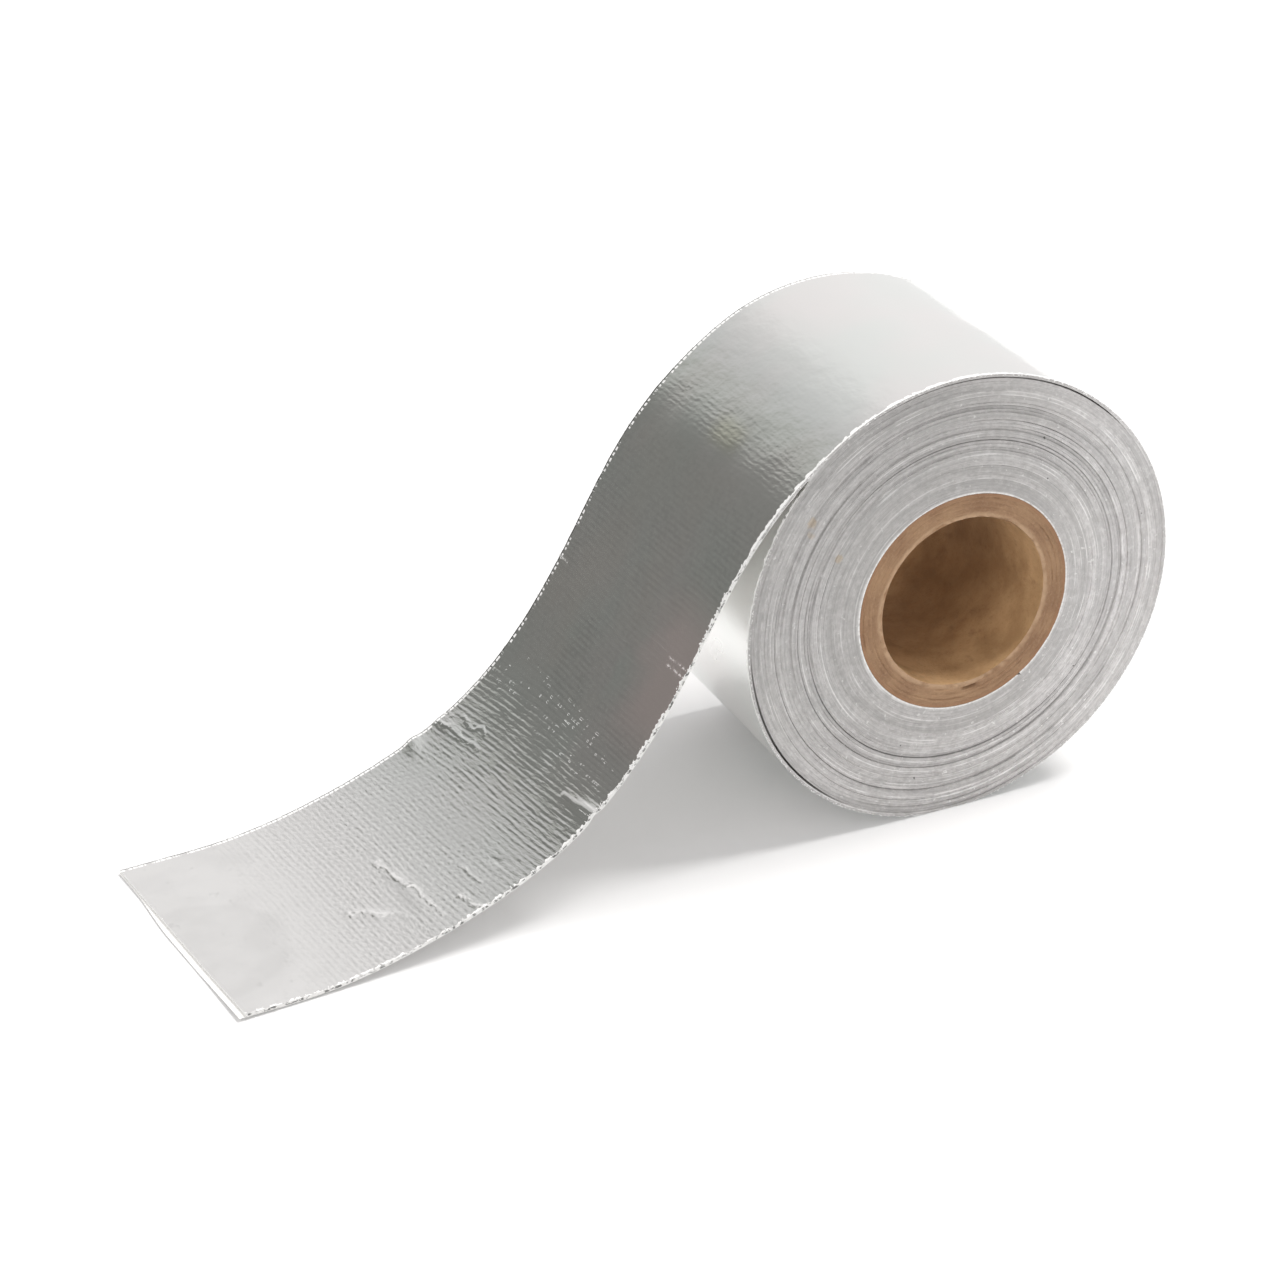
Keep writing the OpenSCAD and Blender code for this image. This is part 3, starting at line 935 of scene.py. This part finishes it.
    # a thin dark line of painted shade where the foil turns over the far edge
    line = m.mul(m.span(m.math("SUBTRACT", near, m.mul(steep, 0.09)), 0.12, 0.18, 1.0, 0.0), on_far, m.span(m.noise(m.combine(S, 0.0, 11.0), 0.8, 2), 0.34, 0.50, 0.25, 1.0),
                 m.span(S, 124, 140, 1.0, 0.5))
    base = m.mix(m.mul(line, 0.85), base, (0.16, 0.16, 0.155, 1))
    col = m.mix(fray, base, (0.90, 0.90, 0.885, 1))
    m.set("Base Color", col)
    m.set("Metallic", m.span(fray, 0.0, 1.0, 1.0, 0.0, smooth=False))
    rough = m.add(m.span(m.noise(mm, 0.07, 3), 0.3, 0.7, 0.115, 0.155), m.mul(m.span(S, 40, 50, 1.0, 0.0), 0.06), m.mul(patch, 0.02), rough_under)
    m.set("Roughness", m.math("MAXIMUM", rough, m.mul(fray, 0.75)))
    return m.mat


def edge_material():
    m = Tree("cut_cloth_edge")
    S, t = m.strip()
    p = m.place()
    px, py, pz = m.split(p)
    ring = m.math("SQRT", m.add(m.math("POWER", px, 2.0), m.math("POWER", m.math("SUBTRACT", pz, ROLL_R * MM), 2.0)))
    grain = m.noise(m.combine(S, m.mul(t, 0.6)), 1.2, 3, 0.6)
    ends = m.noise(m.combine(S, 0.0), 1.7, 2)
    flecks = m.noise(p, 1500, 2, 0.6)
    cloth = m.mix(m.span(grain, 0.3, 0.7), (0.52, 0.505, 0.50, 1), (0.68, 0.66, 0.655, 1))
    cloth = m.mix(m.span(ends, 0.40, 0.70, 0.0, 0.35), cloth, (0.80, 0.80, 0.78, 1))
    glue = m.mix(m.span(grain, 0.35, 0.65), (0.47, 0.455, 0.45, 1), (0.59, 0.575, 0.57, 1))
    col = m.mix(m.span(t, 0.45, 0.65), cloth, glue)
    col = m.mix(m.mul(m.span(t, 0.78, 0.88), m.span(m.noise(p, 520, 2), 0.35, 0.65, 0.15, 0.65)), col, (0.80, 0.80, 0.785, 1))
    # some turns are lighter, some darker
    turns_ = m.noise(m.combine(m.mul(ring, 900.0), m.mul(px, 22.0), m.mul(pz, 22.0)), 1.15, 3, 0.6)
    col = m.mix(m.span(turns_, 0.42, 0.60, 0.0, 0.50), col, (0.36, 0.355, 0.35, 1))
    light_ = m.noise(m.combine(m.mul(ring, 900.0), m.mul(px, 6.0), 2.0), 1.1, 2, 0.5)
    col = m.mix(m.mul(m.span(light_, 0.50, 0.62), m.span(t, 0.50, 0.75), m.span(m.noise(p, 260, 3), 0.38, 0.60, 0.20, 0.95)), col, (0.93, 0.92, 0.91, 1))
    mottle = m.noise(p, 1150, 3, 0.65)
    col = m.mix(m.span(mottle, 0.50, 0.66, 0.0, 0.26), col, (0.33, 0.325, 0.32, 1))
    col = m.mix(m.span(mottle, 0.46, 0.32, 0.0, 0.30), col, (0.86, 0.85, 0.84, 1))
    broad = m.noise(p, 60, 3)
    col = m.mix(m.span(broad, 0.35, 0.65, 0.0, 0.16), col, (0.58, 0.56, 0.54, 1))
    col = m.mix(m.span(flecks, 0.66, 0.74, 0.0, 0.8), col, (0.88, 0.88, 0.86, 1))
    # the cut face is greyer toward the upper left and darker toward the left: painted shade. It is darker toward the
    # core, and lighter toward the right: painted light
    upper_left_shade = m.math("SUBTRACT", px, m.math("SUBTRACT", pz, ROLL_R * MM))
    col = m.mix(m.span(upper_left_shade, -0.030, 0.024, 0.36, 0.0, smooth=False), col, (0.30, 0.30, 0.292, 1))
    # painted shade toward the left
    low = m.mul(m.span(px, 0.020, -0.004), m.span(px, -0.024, -0.010, 0.35, 1.0), 0.14)
    col = m.mix(low, col, (0.13, 0.118, 0.10, 1))
    col = m.mix(m.span(ring, 0.0196, 0.0178, 0.0, 0.10), col, (0.13, 0.118, 0.10, 1))
    # painted light toward the right
    col = m.mix(m.span(px, 0.008, 0.024, 0.0, 0.12), col, (0.86, 0.85, 0.84, 1))
    # along the loose end the cut shows as white crumbs between grey
    along = m.math("FLOORED_MODULO", m.add(S, 200.0), 5000.0)
    crumbs = m.span(m.noise(m.combine(S, m.mul(t, 0.45)), 1.35, 2, 0.6), 0.38, 0.52)
    loose = m.mul(m.span(along, 284, 300, 1.0, 0.0), m.math("GREATER_THAN", along, 150.0))
    grey = m.mix(crumbs, (0.17, 0.17, 0.165, 1), (0.84, 0.84, 0.82, 1))
    col = m.mix(loose, col, grey)
    col = m.mix(m.math("LESS_THAN", S, -500.0), col, (0.86, 0.86, 0.845, 1))
    # the innermost turn shows white round the core
    qx, qz = m.math("SUBTRACT", px, CORE_DX * MM), m.math("SUBTRACT", pz, (ROLL_R + CORE_DZ) * MM)
    inner = m.math("SQRT", m.add(m.mul(qx, qx), m.mul(qz, qz)))
    inner = m.mul(m.span(inner, 0.01470, 0.01484, 1.0, 0.0), m.math("SUBTRACT", 1.0, loose))
    col = m.mix(m.mul(inner, m.span(ends, 0.30, 0.60, 0.35, 0.95)), col, (0.90, 0.89, 0.87, 1))
    # two brown stains and a few dark specks on the side that shows
    front = m.span(py, -0.017, -0.018)
    for ang, rad_, size, depth in ((143.6, 0.855, 0.00095, 0.55), (150.6, 0.652, 0.0006, 0.55), (147.0, 0.83, 0.0005, 0.35)):
        cx = rad_ * ROLL_R * MM * math.cos(math.radians(ang))
        cz = ROLL_R * MM * (1 + rad_ * math.sin(math.radians(ang)))
        d = m.math("SQRT", m.add(m.math("POWER", m.math("SUBTRACT", px, cx), 2.0), m.math("POWER", m.math("SUBTRACT", pz, cz), 2.0)))
        d = m.add(d, m.mul(m.math("SUBTRACT", flecks, 0.5), 0.0012))
        col = m.mix(m.mul(m.span(d, size, size * 0.35), front, depth), col, (0.47, 0.37, 0.25, 1))
    for ang, rad_, size in ((-104, 0.828, 0.00016), (60, 0.768, 0.00022), (-113, 0.684, 0.00013), (50, 0.626, 0.00015), (-38, 0.73, 0.00014), (14, 0.9, 0.00012)):
        cx = rad_ * ROLL_R * MM * math.cos(math.radians(ang))
        cz = ROLL_R * MM * (1 + rad_ * math.sin(math.radians(ang)))
        d = m.math("SQRT", m.add(m.math("POWER", m.math("SUBTRACT", px, cx), 2.0), m.math("POWER", m.math("SUBTRACT", pz, cz), 2.0)))
        col = m.mix(m.mul(m.span(d, size, size * 0.5), front, 0.85), col, (0.05, 0.05, 0.045, 1))
    m.set("Base Color", col)
    m.set("Roughness", 0.6)
    m.bump(m.add(m.mul(grain, 1.0), m.mul(ends, 0.7), flecks), 0.00006)
    return m.mat


def glue_material():
    m = Tree("glue_side")
    S, v = m.strip()
    n = m.noise(m.combine(S, v), 0.7, 4)
    m.set("Base Color", m.mix(n, srgb(205, 204, 198), srgb(226, 225, 220)))
    m.set("Roughness", m.span(n, 0.3, 0.7, 0.35, 0.5))
    m.bump(n, 0.00002)
    return m.mat


def yarn_material():
    m = Tree("glass_yarn")
    S, v = m.strip()
    n = m.noise(m.place(), 4000, 2)
    own = m.noise(m.combine(S, 0.0), 0.73, 1)
    col = m.mix(m.span(own, 0.3, 0.7), (0.78, 0.78, 0.765, 1), (0.93, 0.93, 0.92, 1))
    m.set("Base Color", m.mix(m.span(n, 0.4, 0.8, 0.0, 0.3), col, (0.62, 0.62, 0.60, 1)))
    m.set("Roughness", m.span(n, 0.3, 0.7, 0.45, 0.7))
    m.bump(n, 0.00001)
    return m.mat


def paper_material():
    m = Tree("release_sheet")
    S, v = m.strip()
    mm = m.combine(S, v)
    fibre = m.noise(m.combine(m.mul(S, 0.6), v), 3.5, 4, 0.6)
    m.set("Base Color", m.mix(fibre, srgb(246, 245, 242), srgb(253, 252, 250)))
    m.set("Roughness", m.span(m.noise(mm, 0.3, 2), 0.3, 0.7, 0.42, 0.55))
    m.bump(fibre, 0.000006)
    return m.mat


def board_material(name, kind):
    m = Tree(name)
    p = m.place()
    th, w = m.strip()
    fibre = m.noise(m.combine(m.mul(th, 0.35), m.mul(w, 2.2)), 2.0, 5, 0.62)
    broad = m.noise(p, 210, 4, 0.55)
    fine = m.noise(p, 2600, 3, 0.6)
    if kind == "rim":
        lines = m.noise(m.combine(m.mul(th, 0.05), m.mul(w, 6.0)), 1.6, 2, 0.5)
        col = m.mix(m.span(broad, 0.3, 0.7), srgb(143, 110, 82), srgb(166, 133, 101))
        col = m.mix(m.span(lines, 0.40, 0.62, 0.0, 0.22), col, srgb(124, 92, 68))
        col = m.mix(m.span(fine, 0.45, 0.75, 0.0, 0.30), col, srgb(190, 158, 130))
        px, py, pz = m.split(p)
        qx, qz = m.math("SUBTRACT", px, CORE_DX * MM), m.math("SUBTRACT", pz, (ROLL_R + CORE_DZ) * MM)
        rad_ = m.math("SQRT", m.add(m.mul(qx, qx), m.mul(qz, qz)))
        lip = m.span(m.add(rad_, m.mul(m.math("SUBTRACT", m.noise(p, 420, 3), 0.5), 0.0010)), 0.01165, 0.01225, 1.0, 0.0)
        col = m.mix(m.mul(lip, 0.65), col, srgb(200, 168, 136))
        skin = m.span(m.add(rad_, m.mul(m.math("SUBTRACT", m.noise(p, 300, 3), 0.5), 0.0004)), 0.01405, 0.01425)
        col = m.mix(m.mul(skin, 0.35), col, srgb(150, 108, 80))
        bump = 0.00008
    elif kind == "bore":
        col = m.mix(m.span(broad, 0.28, 0.72), srgb(172, 137, 96), srgb(206, 170, 126))
        col = m.mix(m.span(fine, 0.5, 0.8, 0.0, 0.35), col, srgb(150, 110, 74))
        blot = m.noise(m.combine(m.mul(th, 0.10), m.mul(w, 0.32)), 1.0, 4, 0.6)
        col = m.mix(m.span(blot, 0.55, 0.75, 0.0, 0.30), col, srgb(112, 78, 48))
        # painted shade deep inside the bore
        col = m.mix(m.mul(m.within(w, 14.0, 30.0, 8.0), 0.42), col, srgb(118, 84, 50))
        bump = 0.00004
    else:
        col = m.mix(m.span(broad, 0.3, 0.7), srgb(150, 112, 78), srgb(176, 138, 100))
        bump = 0.00003
    m.set("Base Color", col)
    m.set("Roughness", m.span(fine, 0.3, 0.7, 0.78, 0.92))
    m.bump(m.add(fibre, fine), bump)
    return m.mat


tape = make_tape([foil_material(), edge_material(), glue_material()])
fringe = make_fringe(yarn_material())
liner = make_liner([paper_material(), paper_material()])
core = make_core([board_material("board_rim", "rim"), board_material("board_bore", "bore"), board_material("board_outside", "outside")])


# ---------------------------------------------------------------- floor and light
def make_floor():
    A, rings = 96, (0.0, 0.12, 0.3, 0.6)
    verts, faces = [(0, 0, 0)], []
    import bmesh
    me = bpy.data.meshes.new("floor")
    bm = bmesh.new()
    ring = []
    for k in range(A):
        a = 2 * math.pi * k / A
        ring.append(bm.verts.new((0.75 * math.cos(a), 0.75 * math.sin(a), 0.0)))
    bm.faces.new(ring)
    bm.to_mesh(me)
    bm.free()
    m = Tree("pale_floor")
    n = m.noise(m.place(), 3.0, 2)
    m.set("Base Color", m.mix(n, (0.83, 0.83, 0.83, 1), (0.84, 0.84, 0.84, 1)))
    m.set("Roughness", 0.9)
    m.set("Specular IOR Level", 0.0)
    m.set("Emission Color", (1, 1, 1, 1))
    m.set("Emission Strength", 0.06)
    me.materials.append(m.mat)
    ob = bpy.data.objects.new("floor", me)
    bpy.context.scene.collection.objects.link(ob)
    return ob


def make_world():
    w = bpy.data.worlds.new("studio")
    bpy.context.scene.world = w
    w.use_nodes = True
    t = w.node_tree
    t.nodes.clear()
    out = t.nodes.new("ShaderNodeOutputWorld")
    bg = t.nodes.new("ShaderNodeBackground")
    t.links.new(bg.outputs[0], out.inputs[0])
    co = t.nodes.new("ShaderNodeTexCoord")
    sep = t.nodes.new("ShaderNodeSeparateXYZ")
    t.links.new(co.outputs["Generated"], sep.inputs[0])
    x, y, z = sep.outputs

    def rng_(src, a, b, lo, hi):
        n = t.nodes.new("ShaderNodeMapRange")
        n.interpolation_type = "SMOOTHSTEP"
        t.links.new(src, n.inputs[0])
        n.inputs[1].default_value, n.inputs[2].default_value = a, b
        n.inputs[3].default_value, n.inputs[4].default_value = lo, hi
        return n.outputs[0]

    def op(kind, a, b):
        n = t.nodes.new("ShaderNodeMath")
        n.operation = kind
        for k, val in enumerate((a, b)):
            if isinstance(val, bpy.types.NodeSocket):
                t.links.new(val, n.inputs[k])
            else:
                n.inputs[k].default_value = val
        return n.outputs[0]

    def ramp(src, stops):
        n = t.nodes.new("ShaderNodeValToRGB")
        n.color_ramp.interpolation = "LINEAR"
        el = n.color_ramp.elements
        while len(el) > 1:
            el.remove(el[-1])
        for k, (pos, level, tint) in enumerate(stops):
            e = el[0] if k == 0 else el.new(pos)
            e.position = pos
            e.color = (level * tint[0], level * tint[1], level * tint[2], 1)
        t.links.new(src, n.inputs[0])
        return n.outputs[0]

    def mix(f, a, b):
        n = t.nodes.new("ShaderNodeMix")
        n.data_type = "RGBA"
        t.links.new(f, n.inputs[0])
        for k, val in ((6, a), (7, b)):
            if isinstance(val, bpy.types.NodeSocket):
                t.links.new(val, n.inputs[k])
            else:
                n.inputs[k].default_value = val
        return n.outputs[2]

    # a dim side at the left behind, brighter and brighter toward the right, and a bright ceiling
    dim, pale = (1.0, 1.0, 0.955), (1.0, 0.985, 0.985)
    across = op("MULTIPLY_ADD", x, 0.5)
    across.node.inputs[2].default_value = 0.5                       # x from -1..1 to 0..1
    side = ramp(across, [(0.0, 0.22, dim), (0.300, 0.225, dim), (0.312, 0.30, dim), (0.326, 0.45, dim), (0.345, 0.50, dim),
                         (0.38, 0.60, pale), (0.43, 0.67, pale), (0.48, 0.75, pale), (0.54, 0.88, pale),
                         (0.60, 0.93, pale), (0.75, 0.98, pale), (1.0, 0.92, pale)])
    ceiling = rng_(z, 0.66, 0.80, 0.0, 1.0)
    front = ramp(across, [(0.0, 1.35, pale), (0.30, 1.05, pale), (0.50, 0.66, pale), (0.70, 0.50, pale), (1.0, 0.42, pale)])
    overhead = ramp(across, [(0.0, 1.35, pale), (0.30, 1.05, pale), (0.50, 0.82, pale), (0.70, 0.95, pale), (1.0, 1.05, pale)])
    sky = mix(ceiling, side, overhead)
    behind = rng_(y, -0.05, 0.30, 0.0, 1.0)
    sky = mix(behind, front, sky)
    above = rng_(z, -0.08, -0.03, 0.0, 1.0)
    sky = mix(above, (0.9, 0.9, 0.9, 1), sky)
    t.links.new(sky, bg.inputs[0])
    bg.inputs[1].default_value = 1.0


def make_key():
    """A soft box overhead, to the right and a little in front: the shadow falls under the loose end."""
    light = bpy.data.lights.new("overhead", "AREA")
    light.shape = "SQUARE"
    light.size = 0.4
    light.energy = 12.0
    light.color = (1.0, 0.99, 0.98)
    ob = bpy.data.objects.new("overhead", light)
    ob.location = (0.62, -0.05, 1.12)
    aim = Vector((-0.03, 0.0, 0.0)) - Vector(ob.location)
    ob.rotation_euler = aim.to_track_quat("-Z", "Y").to_euler()
    bpy.context.scene.collection.objects.link(ob)


make_floor()
make_world()
make_key()
view = bpy.context.scene.view_settings
view.view_transform = "Standard"
view.look = "None"
view.exposure = 0.0
view.gamma = 1.0
